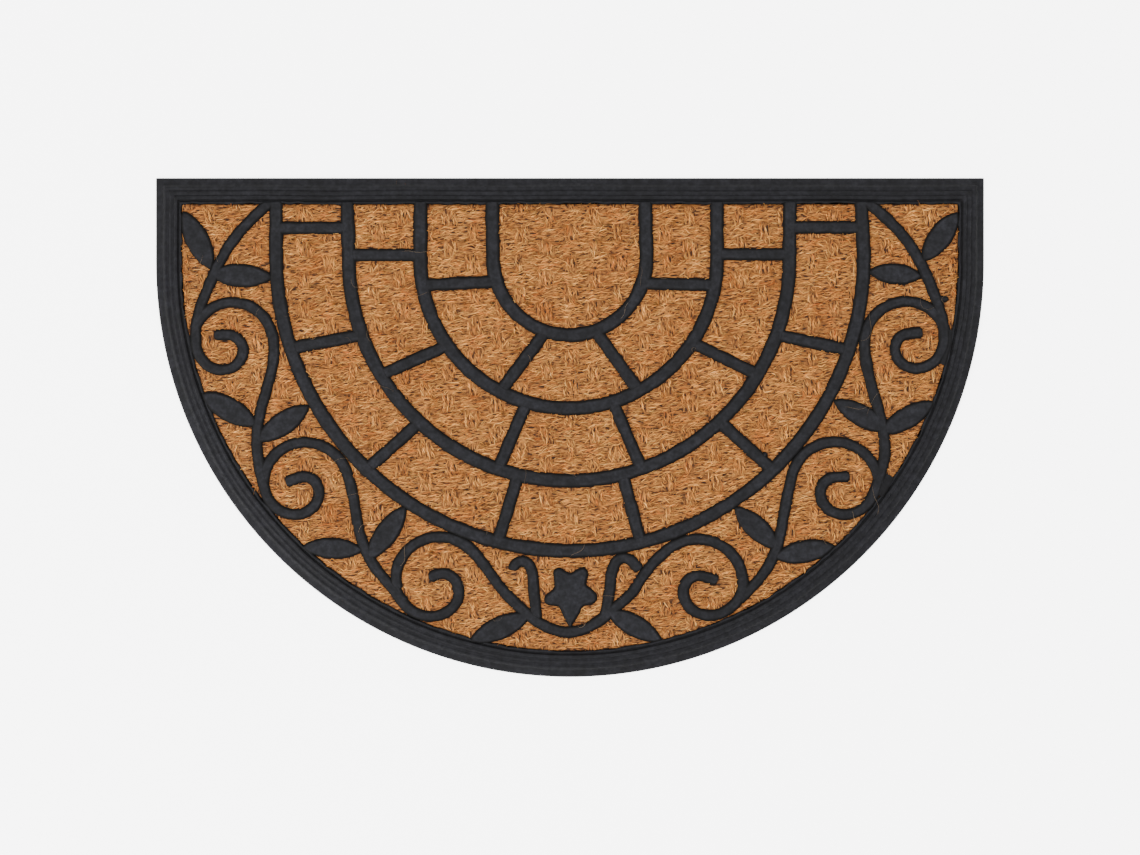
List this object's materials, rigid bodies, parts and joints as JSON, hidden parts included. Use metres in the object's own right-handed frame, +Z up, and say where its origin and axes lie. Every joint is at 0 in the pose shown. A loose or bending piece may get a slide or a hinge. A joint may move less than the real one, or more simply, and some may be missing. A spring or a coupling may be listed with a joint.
{
  "type": "half round rubber and coir doormat",
  "caption": "Half round doormat: a black rubber moulding with a stepped border and raised tracery of arches, bars, vines and leaves over a woven coir panel.",
  "frame": {"origin": "centre of the mat's plan, on its flat underside", "axes": "+X along the straight edge, +Y towards the straight edge, +Z up out of the ribbed face"},
  "size_m": [0.75, 0.452, 0.008],
  "materials": {
    "moulded_rubber": "matte black rubber, pressed in a mould, with flat rib tops and a stepped border",
    "woven_coir": "natural golden brown coir yarn in a coarse basket weave, hairy and uneven"
  },
  "bodies": {
    "root": {"rubber_moulding": "moulded_rubber", "coir_panel": "woven_coir"}
  },
  "joints": []
}
